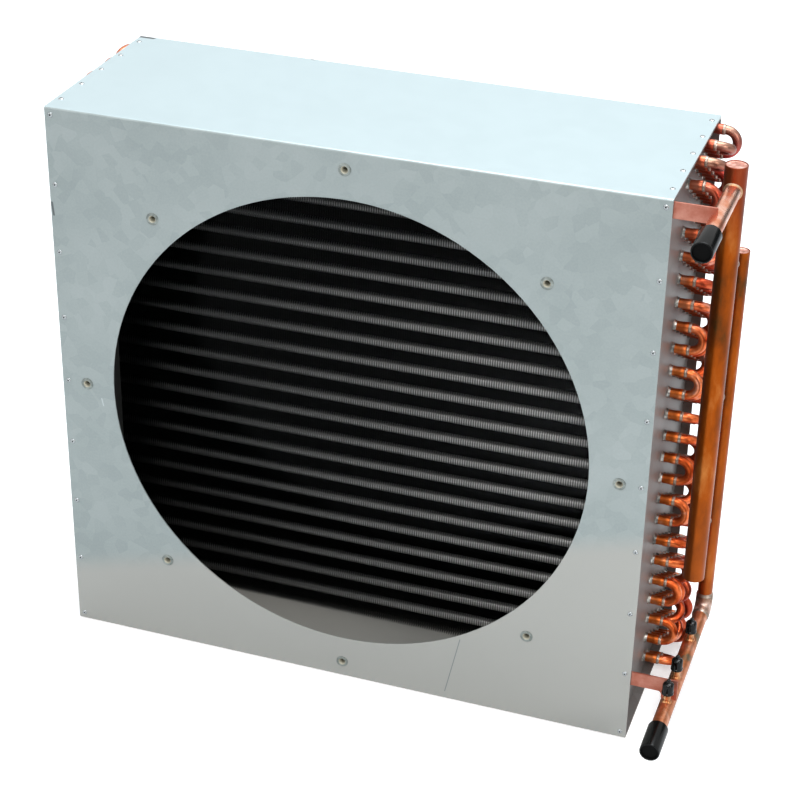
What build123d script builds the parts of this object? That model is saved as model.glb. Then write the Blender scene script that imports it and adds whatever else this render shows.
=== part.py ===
import os
from math import atan2, degrees, radians, sqrt, tan

from build123d import *

# Air-cooled condenser: a finned tube coil in a folded sheet casing with a round fan opening.
# Origin: middle of the casing's underside. X is the coil's length, -Y is the fan side,
# the copper pipework stands out at +X. All sizes are in millimetres.

# Coil pattern
tube_diameter = 9.52
tube_pitch = 25.0
row_pitch = tube_pitch * sqrt(3) / 2
row_count = 5
circuit_count = 4
circuit_level_count = 6
tubes_per_row = circuit_count * circuit_level_count
finned_length = 600.0
rib_pitch = 25.0
rib_width = 12.5

# Sheet metal
sheet_gauge = 1.2
fold_radius = 1.3
plate_gauge = 1.5
flange_width = 9.8
corner_relief = 3.0
coil_clearance = 1.0
casing_depth = 220.0
coil_rear_margin = 4.25

# Fan opening and its threaded inserts
fan_opening_diameter = 506.0
fan_bolt_offset = 11.8
fan_bolt_count = 8
insert_bore_diameter = 5.0
insert_barrel_diameter = 9.0
insert_flange_diameter = 13.0
insert_flange_height = 0.8
insert_length = 12.0
insert_sides = 8

# Rivets
rivet_head_diameter = 5.4
rivet_head_height = 1.1
rivet_edge_distance = 6.2
rivet_sides = 6
front_rivet_count = 9
front_rivet_margin = 10.2
top_rivet_count = 5
top_rivet_margin = 26.7
top_rivet_rear_margin = 19.7

# Tube ends and bends. Tubes and pipes are prisms, and their bends are mitred in a few steps.
tube_end_diameter = 10.8
tube_end_length = 16.5
hairpin_leg = 10.0
tube_sides = 5
hairpin_sides = 4
pipe_sides = 16
bend_steps = 4

# Gas header, in front, with its inlet pipe
header_reach = 39.8
gas_header_diameter = 22.0
gas_header_wall = 1.2
gas_header_depth = 86.2
gas_header_bottom = 155.9
gas_header_top = 611.0
pipe_diameter = 16.0
pipe_wall = 1.0
inlet_drop = 23.8
inlet_end_depth = -64.0
cap_thickness = 1.5
cap_recess = 1.2

# Liquid header, behind, with its elbow and outlet pipe
liquid_header_depth = 181.6
outlet_height = 55.7
outlet_end_depth = -82.6
elbow_radius = 12.0
elbow_wall = 1.1
elbow_socket = 5.0
elbow_steps = 3

# Protective caps on the pipe ends
plug_length = 40.0
plug_wall = 2.3
plug_end = 2.5

# Feeders between headers and coil
gas_feeder_row = 4
gas_feeder_level = 4
gas_feeder_reach = 28.0
liquid_feeder_row = 3
liquid_feeder_level = 0
liquid_feeder_reach = 21.7
outlet_joint_margin = 14.6
header_end_margin = 11.5
feeder_corner_cut = 12.0

# Copper brackets
bracket_gauge = 2.0
bracket_width = 16.0
bracket_hidden_length = 8.0
upper_bracket_drop = 1.7
lower_bracket_rise = 11.5
bracket_foot_radius = 4.0

# Access valves on the outlet pipe
valve_depths = (107.4, 37.6, -5.5)
valve_stem_diameter = 7.6
valve_stem_height = 26.0
valve_cap_diameter = 12.4
valve_cap_height = 13.0
valve_cap_bottom = 17.0
valve_nub_diameter = 4.4
valve_nub_height = 4.5
valve_sides = 8

# Sizes that follow from the ones above
fin_height = tubes_per_row * tube_pitch
fin_depth = row_count * row_pitch
casing_width = finned_length + 2 * (plate_gauge + flange_width)
casing_height = fin_height + 2 * (sheet_gauge + coil_clearance)
fan_bolt_circle = (fan_opening_diameter + casing_height) / 2 + fan_bolt_offset
front = -casing_depth / 2
rear = casing_depth / 2
side = casing_width / 2
plate_face = finned_length / 2 + plate_gauge
fin_bottom = sheet_gauge + coil_clearance
fin_front = rear - coil_rear_margin - fin_depth
fin_reach = row_pitch / 2 - tube_diameter / 2
bend_radius = tube_pitch / 2
tube_end_face = plate_face + tube_end_length
header_x = side + header_reach
pipe_radius = pipe_diameter / 2
gas_header_y = front + gas_header_depth
liquid_header_y = front + liquid_header_depth
inlet_height = gas_header_top - inlet_drop
inlet_end_y = front + inlet_end_depth
outlet_end_y = front + outlet_end_depth
bracket_face = front + sheet_gauge + plate_gauge
opening_height = casing_height / 2


def tube_centre(row, level):
    """Y and Z of a tube: rows count from the fan side, odd rows sit half a pitch higher."""
    y = fin_front + (row - 0.5) * row_pitch
    quarter = 0.75 if row % 2 else 0.25
    return y, fin_bottom + (level + quarter) * tube_pitch


def circuit_levels(level):
    """The same place in each circuit, as levels counted from the bottom."""
    return [level + circuit * circuit_level_count for circuit in range(circuit_count)]


def bend_locations(row_a, level_a, row_b, level_b, x):
    """Where a bend joins two tubes, once in each circuit, turned to lie along the pair."""
    places = []
    for base in circuit_levels(0):
        y_a, z_a = tube_centre(row_a, base + level_a)
        y_b, z_b = tube_centre(row_b, base + level_b)
        turn = degrees(atan2(y_a - y_b, z_b - z_a))
        places.append(Location((x, (y_a + y_b) / 2, (z_a + z_b) / 2), (turn, 0, 0)))
    return places


def mitres(start, heading, axis, turn, radius, steps):
    """Corners of an arc drawn in straight steps, which leaves start along heading."""
    run = 2 * radius * tan(radians(abs(turn) / steps / 2))
    points = [start + heading * run / 2]
    for count in range(1, steps):
        points.append(points[-1] + (heading * run).rotate(axis, turn / steps * count))
    return points


os.makedirs("parts", exist_ok=True)

# Casing: one sheet folded into bottom, front and top, with the fan opening cut in the front.
with BuildPart() as casing_wrap:
    with BuildSketch(Plane.YZ) as wrap_profile:
        with Locations((0, casing_height / 2)):
            Rectangle(casing_depth, casing_height)
        fillet(wrap_profile.vertices().group_by(Axis.X)[0], fold_radius + sheet_gauge)
        with BuildSketch(Plane.YZ, mode=Mode.SUBTRACT) as wrap_inside:
            with Locations((sheet_gauge, casing_height / 2)):
                Rectangle(casing_depth, casing_height - 2 * sheet_gauge)
            fillet(wrap_inside.vertices().group_by(Axis.X)[0], fold_radius)
    extrude(amount=side, both=True)
    with BuildSketch(Plane.XZ.offset(-front)):
        with Locations((0, opening_height)):
            Circle(fan_opening_diameter / 2)
            with PolarLocations(fan_bolt_circle / 2, fan_bolt_count):
                RegularPolygon(insert_barrel_diameter / 2, insert_sides)
    extrude(amount=-2 * sheet_gauge, mode=Mode.SUBTRACT)
casing_wrap.part.label = "casing_wrap"
export_step(casing_wrap.part, "parts/casing_wrap.step")

# Tube plates: pressed trays whose four flanges turn away from the fins.
plate_depth = casing_depth - sheet_gauge
plate_height = casing_height - 2 * sheet_gauge
plate_y = front + sheet_gauge + plate_depth / 2
with BuildPart() as tube_plate_right:
    with BuildSketch(Plane.YZ.offset(finned_length / 2)):
        with Locations((plate_y, casing_height / 2)):
            plate_outline = Rectangle(plate_depth, plate_height)
        chamfer(plate_outline.vertices().group_by(Axis.X)[0], fold_radius)
    extrude(amount=plate_gauge + flange_width)
    with BuildSketch(Plane.YZ.offset(plate_face)):
        with Locations((plate_y, casing_height / 2)):
            Rectangle(plate_depth - 2 * plate_gauge, plate_height - 2 * plate_gauge)
            with GridLocations(plate_depth, plate_height, 2, 2):
                Rectangle(2 * corner_relief, 2 * corner_relief)
    extrude(amount=flange_width, mode=Mode.SUBTRACT)
tube_plate_right.part.label = "tube_plate_right"
export_step(tube_plate_right.part, "parts/tube_plate_right.step")

with BuildPart() as tube_plate_left:
    mirror(tube_plate_right.part, about=Plane.YZ)
tube_plate_left.part.label = "tube_plate_left"
export_step(tube_plate_left.part, "parts/tube_plate_left.step")

# Fin pack: the fins stand out as upright ribs on both faces, down to the nearest tubes.
rib_gap_count = round(finned_length / rib_pitch)
fin_middle = fin_front + fin_depth / 2
with BuildPart() as fin_pack:
    with BuildSketch(Plane.XY.offset(fin_bottom)):
        with Locations((0, fin_middle)):
            Rectangle(finned_length, fin_depth)
        with Locations((0, fin_front + fin_reach / 2), (0, fin_front + fin_depth - fin_reach / 2)):
            with GridLocations(finned_length / rib_gap_count, 1, rib_gap_count, 1):
                Rectangle(finned_length / rib_gap_count - rib_width, fin_reach, mode=Mode.SUBTRACT)
    extrude(amount=fin_height)
fin_pack.part.label = "fin_pack"
export_step(fin_pack.part, "parts/fin_pack.step")

# Tube ends: the belled ends of the hairpin tubes, standing out of the right tube plate.
for row in range(1, row_count + 1):
    with BuildPart() as tube_ends:
        with BuildSketch(Plane.YZ.offset(plate_face)):
            with Locations(*[tube_centre(row, level) for level in range(tubes_per_row)]):
                RegularPolygon(tube_end_diameter / 2, tube_sides)
        extrude(amount=tube_end_length)
    tube_ends.part.label = f"tube_ends_row_{row}"
    export_step(tube_ends.part, f"parts/tube_ends_row_{row}.step")


def bend_route(leg):
    """A U that opens towards -X: its legs start at X = 0 and lie one tube pitch apart."""
    arc_start = Vector(leg, 0, -bend_radius)
    corners = mitres(arc_start, Vector(1, 0, 0), Axis.Y, -180, bend_radius, bend_steps)
    return [Vector(0, 0, -bend_radius), *corners, Vector(0, 0, bend_radius)]


# Return bend: joins two neighbouring tube ends, in its own frame, legs at X = 0.
with BuildPart() as return_bend:
    with BuildLine():
        Polyline(*bend_route(0))
    with BuildSketch(Plane.YZ):
        with Locations((0, -bend_radius)):
            RegularPolygon(tube_diameter / 2, tube_sides)
    sweep(transition=Transition.RIGHT)

# Hairpin bend: the closed end of a hairpin tube, with the stretch that clears the plate.
with BuildPart() as hairpin_bend:
    with BuildLine():
        Polyline(*bend_route(hairpin_leg))
    with BuildSketch(Plane.YZ):
        with Locations((0, -bend_radius)):
            RegularPolygon(tube_diameter / 2, hairpin_sides)
    sweep(transition=Transition.RIGHT)


# Return bends: brazed into the tube ends. Upright ones stay in a row, slanting ones cross rows.
upright_bends = {1: (1, 3), 2: (3,), 3: (3,), 4: (0, 2), 5: (0, 2, 4)}
for row, levels in upright_bends.items():
    places = []
    for level in levels:
        places += bend_locations(row, level, row, level + 1, tube_end_face)
    with BuildPart() as return_bends:
        with Locations(*places):
            add(return_bend.part)
    return_bends.part.label = f"return_bends_row_{row}"
    export_step(return_bends.part, f"parts/return_bends_row_{row}.step")

crossing_bends = {1: (0, 5), 2: (1, 2), 3: (5,)}
for row, levels in crossing_bends.items():
    places = []
    for level in levels:
        places += bend_locations(row, level, row + 1, level, tube_end_face)
    with BuildPart() as crossovers:
        with Locations(*places):
            add(return_bend.part)
    crossovers.part.label = f"crossover_bends_{row}_to_{row + 1}"
    export_step(crossovers.part, f"parts/crossover_bends_{row}_to_{row + 1}.step")

# Hairpin bends on the left: the two rear rows have their first and last tube joined across.
with BuildPart() as left_bend:
    mirror(hairpin_bend.part, about=Plane.YZ)
hairpin_levels = {1: (0, 2, 4), 2: (0, 2, 4), 3: (0, 2, 4), 4: (1, 3), 5: (1, 3)}
for row, levels in hairpin_levels.items():
    places = []
    for level in levels:
        places += bend_locations(row, level, row, level + 1, -plate_face)
    with BuildPart() as hairpins:
        with Locations(*places):
            add(left_bend.part)
    hairpins.part.label = f"hairpin_bends_row_{row}"
    export_step(hairpins.part, f"parts/hairpin_bends_row_{row}.step")

rear_crossings = []
for level in (0, circuit_level_count - 1):
    rear_crossings += bend_locations(row_count - 1, level, row_count, level, -plate_face)
with BuildPart() as hairpin_crossovers:
    with Locations(*rear_crossings):
        add(left_bend.part)
hairpin_crossovers.part.label = "hairpin_crossovers_4_to_5"
export_step(hairpin_crossovers.part, "parts/hairpin_crossovers_4_to_5.step")


# Feeders: copper tubes of the coil's own size between each circuit and its header.
# The lowest gas feeder climbs to the header, the lowest liquid feeder joins the outlet pipe.
outlet_start_y = liquid_header_y - elbow_radius
outlet_joint = (header_x, outlet_start_y - elbow_socket - outlet_joint_margin, outlet_height)
gas_feeder_lowest = gas_header_bottom + header_end_margin
gas_routes = []
for level in circuit_levels(gas_feeder_level):
    y, z = tube_centre(gas_feeder_row, level)
    header_point = (header_x, gas_header_y, max(z, gas_feeder_lowest))
    gas_routes.append([(tube_end_face, y, z), (side + gas_feeder_reach, y, z), header_point])
liquid_routes = []
for level in circuit_levels(liquid_feeder_level):
    y, z = tube_centre(liquid_feeder_row, level)
    header_point = (header_x, liquid_header_y, z) if liquid_routes else outlet_joint
    liquid_routes.append([(tube_end_face, y, z), (side + liquid_feeder_reach, y, z), header_point])

feeder_solids = []
for routes in (gas_routes, liquid_routes):
    with BuildPart() as whole_feeders:
        for route in routes:
            start, corner, end = [Vector(*point) for point in route]
            before_corner = corner + (start - corner).normalized() * feeder_corner_cut
            after_corner = corner + (end - corner).normalized() * feeder_corner_cut
            with BuildLine():
                Polyline(start, before_corner, after_corner, end)
            with BuildSketch(Plane(origin=start, x_dir=(0, 1, 0), z_dir=(1, 0, 0))):
                RegularPolygon(tube_diameter / 2, tube_sides)
            sweep(transition=Transition.RIGHT)
    feeder_solids.append(whole_feeders.part)


def header_bore(y, bottom, top, radius):
    """The inside of a header, which its feeders end at."""
    with BuildPart() as bore:
        with BuildSketch(Plane.XY.offset(bottom)):
            with Locations((header_x, y)):
                RegularPolygon(radius, pipe_sides)
        extrude(amount=top - bottom)
    return bore.part


# Gas header: an upright copper tube with the inlet pipe's hole and one hole for each feeder.
gas_outer_radius = gas_header_diameter / 2
gas_bore_radius = gas_outer_radius - gas_header_wall
gas_bore = header_bore(gas_header_y, gas_header_bottom, gas_header_top, gas_bore_radius)
with BuildPart() as gas_feeders:
    add(feeder_solids[0])
    add(gas_bore, mode=Mode.SUBTRACT)
gas_feeders.part.label = "gas_feeders"
export_step(gas_feeders.part, "parts/gas_feeders.step")

with BuildPart() as gas_header:
    with BuildSketch(Plane.XY.offset(gas_header_bottom)):
        with Locations((header_x, gas_header_y)):
            RegularPolygon(gas_outer_radius, pipe_sides)
            RegularPolygon(gas_bore_radius, pipe_sides, mode=Mode.SUBTRACT)
    extrude(amount=gas_header_top - gas_header_bottom)
    with BuildSketch(Plane.XZ.offset(-gas_header_y)):
        with Locations((header_x, inlet_height)):
            RegularPolygon(pipe_radius, pipe_sides)
    extrude(amount=gas_outer_radius, mode=Mode.SUBTRACT)
    add(gas_feeders.part, mode=Mode.SUBTRACT)
gas_header.part.label = "gas_header"
export_step(gas_header.part, "parts/gas_header.step")

# Inlet pipe: runs from the gas header's wall out past the fan side.
inlet_length = gas_header_y - inlet_end_y - plug_end
with BuildPart() as inlet_pipe:
    with BuildSketch(Plane.XZ.offset(-gas_header_y)):
        with Locations((header_x, inlet_height)):
            RegularPolygon(pipe_radius, pipe_sides)
            RegularPolygon(pipe_radius - pipe_wall, pipe_sides, mode=Mode.SUBTRACT)
    extrude(amount=inlet_length)
    add(gas_bore, mode=Mode.SUBTRACT)
inlet_pipe.part.label = "inlet_pipe"
export_step(inlet_pipe.part, "parts/inlet_pipe.step")

# Header end caps: discs let into the tube ends, a little below the rims. The liquid header
# ends above its highest feeder.
liquid_header_top = liquid_routes[-1][-1][2] + header_end_margin
header_caps = {
    "gas_header_top_cap": (gas_header_y, gas_header_top - cap_recess - cap_thickness, gas_bore_radius),
    "gas_header_bottom_cap": (gas_header_y, gas_header_bottom + cap_recess, gas_bore_radius),
    "liquid_header_top_cap": (
        liquid_header_y, liquid_header_top - cap_recess - cap_thickness, pipe_radius - pipe_wall
    ),
}
for name, (cap_y, cap_bottom, cap_radius) in header_caps.items():
    with BuildPart() as header_cap:
        with BuildSketch(Plane.XY.offset(cap_bottom)):
            with Locations((header_x, cap_y)):
                RegularPolygon(cap_radius, pipe_sides)
        extrude(amount=cap_thickness)
    header_cap.part.label = name
    export_step(header_cap.part, f"parts/{name}.step")

# Liquid header: the upright rear tube. It stands in the socket of the elbow below it.
liquid_header_bottom = outlet_height + elbow_radius
liquid_bore = header_bore(liquid_header_y, liquid_header_bottom, liquid_header_top, pipe_radius - pipe_wall)
with BuildPart() as liquid_feeders:
    add(feeder_solids[1])
    add(liquid_bore, mode=Mode.SUBTRACT)
    with BuildSketch(Plane.XZ.offset(-outlet_joint[1])):
        with Locations((header_x, outlet_height)):
            RegularPolygon(pipe_radius - pipe_wall, pipe_sides)
    extrude(amount=pipe_diameter, both=True, mode=Mode.SUBTRACT)
liquid_feeders.part.label = "liquid_feeders"
export_step(liquid_feeders.part, "parts/liquid_feeders.step")

with BuildPart() as liquid_header:
    with BuildSketch(Plane.XY.offset(liquid_header_bottom)):
        with Locations((header_x, liquid_header_y)):
            RegularPolygon(pipe_radius, pipe_sides)
            RegularPolygon(pipe_radius - pipe_wall, pipe_sides, mode=Mode.SUBTRACT)
    extrude(amount=liquid_header_top - liquid_header_bottom)
    add(liquid_feeders.part, mode=Mode.SUBTRACT)
liquid_header.part.label = "liquid_header"
export_step(liquid_header.part, "parts/liquid_header.step")

# Elbow: turns the liquid header into the outlet pipe, with a socket over each.
elbow_top = liquid_header_bottom + elbow_socket
arc_start = Vector(header_x, liquid_header_y, liquid_header_bottom)
elbow_corners = mitres(arc_start, Vector(0, 0, -1), Axis.X, -90, elbow_radius, elbow_steps)
with BuildPart() as outlet_elbow:
    with BuildLine():
        Polyline(
            (header_x, liquid_header_y, elbow_top),
            *elbow_corners,
            (header_x, outlet_start_y - elbow_socket, outlet_height),
        )
    with BuildSketch(Plane.XY.offset(elbow_top)):
        with Locations((header_x, liquid_header_y)):
            RegularPolygon(pipe_radius + elbow_wall, pipe_sides)
            RegularPolygon(pipe_radius, pipe_sides, mode=Mode.SUBTRACT)
    sweep(transition=Transition.RIGHT)
outlet_elbow.part.label = "outlet_elbow"
export_step(outlet_elbow.part, "parts/outlet_elbow.step")

# Outlet pipe: lies level along the casing's side and out past the fan side.
outlet_length = outlet_start_y - outlet_end_y - plug_end
with BuildPart() as outlet_pipe:
    with BuildSketch(Plane.XZ.offset(-outlet_start_y)):
        with Locations((header_x, outlet_height)):
            RegularPolygon(pipe_radius, pipe_sides)
            RegularPolygon(pipe_radius - pipe_wall, pipe_sides, mode=Mode.SUBTRACT)
    extrude(amount=outlet_length)
    add(liquid_feeders.part, mode=Mode.SUBTRACT)
outlet_pipe.part.label = "outlet_pipe"
export_step(outlet_pipe.part, "parts/outlet_pipe.step")

# Plugs: black plastic caps pushed over the open pipe ends.
for name, end_y, height in (
    ("inlet_plug", inlet_end_y, inlet_height),
    ("outlet_plug", outlet_end_y, outlet_height),
):
    with BuildPart() as plug:
        with BuildSketch(Plane.XZ.offset(-end_y)):
            with Locations((header_x, height)):
                RegularPolygon(pipe_radius + plug_wall, pipe_sides)
        extrude(amount=-plug_length)
        with BuildSketch(Plane.XZ.offset(-end_y - plug_end)):
            with Locations((header_x, height)):
                RegularPolygon(pipe_radius, pipe_sides)
        extrude(amount=plug_end - plug_length, mode=Mode.SUBTRACT)
        chamfer(plug.edges().group_by(Axis.Y)[0], plug_wall / 2)
    plug.part.label = name
    export_step(plug.part, f"parts/{name}.step")

# Brackets: copper strips behind the front flange. The upper one ends against the inlet pipe,
# the lower one sits on the outlet pipe with a foot that follows its curve.
bracket_start = side - bracket_hidden_length
upper_bracket_bottom = inlet_height - upper_bracket_drop
with BuildPart() as upper_bracket:
    with BuildSketch(Plane.XZ.offset(-bracket_face)):
        with Locations((bracket_start, upper_bracket_bottom)):
            Rectangle(header_x - bracket_start, bracket_width, align=(Align.MIN, Align.MIN))
        with Locations((header_x, inlet_height)):
            RegularPolygon(pipe_radius, pipe_sides, mode=Mode.SUBTRACT)
    extrude(amount=-bracket_gauge)
upper_bracket.part.label = "upper_bracket"
export_step(upper_bracket.part, "parts/upper_bracket.step")

lower_bracket_bottom = outlet_height + lower_bracket_rise
lower_bracket_top = lower_bracket_bottom + bracket_width
foot_bottom = outlet_height + pipe_radius / 2
with BuildPart() as lower_bracket:
    with BuildSketch(Plane.XZ.offset(-bracket_face)) as lower_outline:
        with Locations((header_x + pipe_radius, lower_bracket_top)):
            Rectangle(
                header_x + pipe_radius - bracket_start, bracket_width, align=(Align.MAX, Align.MAX)
            )
            Rectangle(pipe_diameter, lower_bracket_top - foot_bottom, align=(Align.MAX, Align.MAX))
        inner_corner = (header_x - pipe_radius, lower_bracket_bottom)
        fillet(lower_outline.vertices().sort_by_distance(inner_corner)[0], bracket_foot_radius)
        with Locations((header_x, outlet_height)):
            RegularPolygon(pipe_radius, pipe_sides, mode=Mode.SUBTRACT)
    extrude(amount=-bracket_gauge)
lower_bracket.part.label = "lower_bracket"
export_step(lower_bracket.part, "parts/lower_bracket.step")

# Access valves: a stem brazed upright on the outlet pipe, each under a black pull-off cap.
for number, depth in enumerate(valve_depths, start=1):
    valve_y = front + depth
    with BuildPart() as valve_stem:
        with BuildSketch(Plane.XY.offset(outlet_height)):
            with Locations((header_x, valve_y)):
                RegularPolygon(valve_stem_diameter / 2, valve_sides)
        extrude(amount=valve_stem_height)
        with BuildSketch(Plane.XZ.offset(-valve_y)):
            with Locations((header_x, outlet_height)):
                RegularPolygon(pipe_radius, pipe_sides)
        extrude(amount=valve_stem_diameter, both=True, mode=Mode.SUBTRACT)
    valve_stem.part.label = f"access_valve_{number}"
    export_step(valve_stem.part, f"parts/access_valve_{number}.step")

    with BuildPart() as valve_cap:
        with BuildSketch(Plane.XY.offset(outlet_height + valve_cap_bottom)):
            with Locations((header_x, valve_y)):
                RegularPolygon(valve_cap_diameter / 2, valve_sides)
        extrude(amount=valve_cap_height)
        chamfer(valve_cap.edges().group_by(Axis.Z)[-1], valve_cap_diameter / 8)
        with BuildSketch(Plane.XY.offset(outlet_height + valve_cap_bottom + valve_cap_height)):
            with Locations((header_x, valve_y)):
                RegularPolygon(valve_nub_diameter / 2, valve_sides)
        extrude(amount=valve_nub_height)
        with BuildSketch(Plane.XY.offset(outlet_height + valve_cap_bottom)):
            with Locations((header_x, valve_y)):
                RegularPolygon(valve_stem_diameter / 2, valve_sides)
        extrude(amount=valve_stem_height - valve_cap_bottom, mode=Mode.SUBTRACT)
    valve_cap.part.label = f"valve_cap_{number}"
    export_step(valve_cap.part, f"parts/valve_cap_{number}.step")

# Fan inserts: threaded rivet nuts set in the front sheet round the opening.
with BuildPart() as fan_inserts:
    with BuildSketch(Plane.XZ.offset(-front)):
        with Locations((0, opening_height)):
            with PolarLocations(fan_bolt_circle / 2, fan_bolt_count):
                RegularPolygon(insert_flange_diameter / 2, insert_sides)
    extrude(amount=insert_flange_height)
    with BuildSketch(Plane.XZ.offset(-front)):
        with Locations((0, opening_height)):
            with PolarLocations(fan_bolt_circle / 2, fan_bolt_count):
                RegularPolygon(insert_barrel_diameter / 2, insert_sides)
    extrude(amount=-insert_length)
    with BuildSketch(Plane.XZ.offset(-front - insert_length)):
        with Locations((0, opening_height)):
            with PolarLocations(fan_bolt_circle / 2, fan_bolt_count):
                Circle(insert_bore_diameter / 2)
    extrude(amount=insert_length + insert_flange_height, mode=Mode.SUBTRACT)
fan_inserts.part.label = "fan_inserts"
export_step(fan_inserts.part, "parts/fan_inserts.step")

# Blind rivets: low heads that fix the casing sheet to the tube plates' flanges.
rivet_x = side - rivet_edge_distance
front_rivet_gap = (casing_height - 2 * front_rivet_margin) / (front_rivet_count - 1)
with BuildPart() as front_rivets:
    with BuildSketch(Plane.XZ.offset(-front)):
        with Locations((0, casing_height / 2)):
            with GridLocations(2 * rivet_x, front_rivet_gap, 2, front_rivet_count):
                RegularPolygon(rivet_head_diameter / 2, rivet_sides)
    extrude(amount=rivet_head_height, taper=30)
front_rivets.part.label = "front_rivets"
export_step(front_rivets.part, "parts/front_rivets.step")

top_rivet_span = casing_depth - top_rivet_margin - top_rivet_rear_margin
top_rivet_gap = top_rivet_span / (top_rivet_count - 1)
with BuildPart() as top_rivets:
    with BuildSketch(Plane.XY.offset(casing_height)):
        with Locations((0, front + top_rivet_margin + top_rivet_span / 2)):
            with GridLocations(2 * rivet_x, top_rivet_gap, 2, top_rivet_count):
                RegularPolygon(rivet_head_diameter / 2, rivet_sides)
    extrude(amount=rivet_head_height, taper=30)
top_rivets.part.label = "top_rivets"
export_step(top_rivets.part, "parts/top_rivets.step")
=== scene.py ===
from math import radians

import bmesh
import bpy
import numpy as np
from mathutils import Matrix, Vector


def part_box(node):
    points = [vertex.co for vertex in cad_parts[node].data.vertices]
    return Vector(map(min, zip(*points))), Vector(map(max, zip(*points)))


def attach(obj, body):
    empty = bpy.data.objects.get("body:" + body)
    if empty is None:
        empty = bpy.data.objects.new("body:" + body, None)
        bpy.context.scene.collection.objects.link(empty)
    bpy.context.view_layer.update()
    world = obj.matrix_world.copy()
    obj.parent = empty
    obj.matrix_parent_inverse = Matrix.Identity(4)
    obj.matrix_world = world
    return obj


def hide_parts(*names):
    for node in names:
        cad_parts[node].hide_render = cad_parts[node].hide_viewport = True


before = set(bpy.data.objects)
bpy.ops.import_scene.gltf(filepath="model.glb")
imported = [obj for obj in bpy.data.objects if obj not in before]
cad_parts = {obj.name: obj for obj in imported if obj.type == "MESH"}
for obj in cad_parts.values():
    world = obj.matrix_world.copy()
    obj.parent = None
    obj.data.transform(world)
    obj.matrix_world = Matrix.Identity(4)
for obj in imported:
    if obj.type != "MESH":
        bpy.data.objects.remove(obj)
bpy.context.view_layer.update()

# Studio: a pale floor under the casing, a white surround, one large soft lamp overhead and three
# weaker ones. Three dark boards that only reflections see give the bright metal its contrast.
mm = 0.001


def colour(code, alpha=1.0):
    """sRGB hex to linear: c / 12.92 up to 0.04045, and ((c + 0.055) / 1.055) to the power 2.4 above."""
    srgb = np.array([int(code[i : i + 2], 16) for i in (1, 3, 5)]) / 255
    linear = np.where(srgb <= 0.04045, srgb / 12.92, ((srgb + 0.055) / 1.055) ** 2.4)
    return (*linear.tolist(), alpha)


def add_node(tree, kind, inputs=None, **settings):
    """Adds one node. Settings are its own options, inputs are values or the sockets linked to it."""
    node = tree.nodes.new(kind)
    for name, value in settings.items():
        setattr(node, name, value)
    for name, value in (inputs or {}).items():
        if isinstance(value, bpy.types.NodeSocket):
            tree.links.new(value, node.inputs[name])
        else:
            node.inputs[name].default_value = value
    return node


def studio_plane(name, centre, facing, size, material):
    """A flat square board: centre plus and minus half its size along two directions across facing."""
    facing = np.array(facing, float) / np.linalg.norm(facing)
    across = np.cross(facing, (0.0, 0.0, 1.0) if abs(facing[2]) < 0.9 else (0.0, 1.0, 0.0))
    across /= np.linalg.norm(across)
    upward = np.cross(across, facing)
    corners = [
        np.array(centre) + (u * across + v * upward) * size / 2
        for u, v in ((-1, -1), (1, -1), (1, 1), (-1, 1))
    ]
    mesh = bpy.data.meshes.new(name)
    mesh.from_pydata([c.tolist() for c in corners], [], [(0, 1, 2, 3)])
    mesh.materials.append(material)
    board = bpy.data.objects.new(name, mesh)
    bpy.context.scene.collection.objects.link(board)
    return board


paper = bpy.data.materials.new("matt_white_studio_paper")
paper.use_nodes = True
tree = paper.node_tree
tree.nodes.clear()
seen = add_node(tree, "ShaderNodeLightPath").outputs["Is Camera Ray"]
paint = add_node(tree, "ShaderNodeBsdfDiffuse", {"Color": colour("#e4e4e4")}).outputs[0]
glow = add_node(tree, "ShaderNodeEmission", {"Color": (1, 1, 1, 1), "Strength": 0.42}).outputs[0]
dark = add_node(tree, "ShaderNodeEmission", {"Color": (0, 0, 0, 1), "Strength": 0.0}).outputs[0]
lift = add_node(tree, "ShaderNodeMixShader", {0: seen, 1: dark, 2: glow}).outputs[0]
both = add_node(tree, "ShaderNodeAddShader", {0: paint, 1: lift}).outputs[0]
add_node(tree, "ShaderNodeOutputMaterial", {"Surface": both})
studio_plane("floor", (0, 0, -0.4 * mm), (0, 0, 1), 14.0, paper)

board_black = bpy.data.materials.new("matt_black_studio_board")
board_black.use_nodes = True
shader = board_black.node_tree.nodes["Principled BSDF"]
shader.inputs["Base Color"].default_value = colour("#1a1a1c")
shader.inputs["Roughness"].default_value = 1.0
for name, centre, facing, size in (
    ("dark_board_right", (3.2, -0.6, 0.9), (-1, 0.1, 0), 1.5),
    ("dark_board_front", (1.5, -3.6, 0.5), (-0.3, 1, 0), 1.2),
    ("dark_board_rear", (2.0, 2.6, 1.0), (-0.6, -1, 0), 1.3),
):
    board = studio_plane(name, centre, facing, size, board_black)
    board.visible_camera = False
    board.visible_diffuse = False
    board.visible_shadow = False

world = bpy.data.worlds.new("white_surround")
bpy.context.scene.world = world
world.use_nodes = True
tree = world.node_tree
tree.nodes.clear()
path = add_node(tree, "ShaderNodeLightPath")
sharp = add_node(
    tree,
    "ShaderNodeMath",
    {0: path.outputs["Is Camera Ray"], 1: path.outputs["Is Glossy Ray"]},
    operation="MAXIMUM",
).outputs[0]
clear = add_node(
    tree,
    "ShaderNodeMath",
    {0: sharp, 1: path.outputs["Is Transmission Ray"]},
    operation="MAXIMUM",
).outputs[0]
ambient = add_node(tree, "ShaderNodeBackground", {"Color": colour("#dfe6ee"), "Strength": 0.5})
white = add_node(tree, "ShaderNodeBackground", {"Color": (1, 1, 1, 1), "Strength": 1.0})
blend = add_node(
    tree, "ShaderNodeMixShader", {0: clear, 1: ambient.outputs[0], 2: white.outputs[0]}
)
add_node(tree, "ShaderNodeOutputWorld", {"Surface": blend.outputs[0]})

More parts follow.
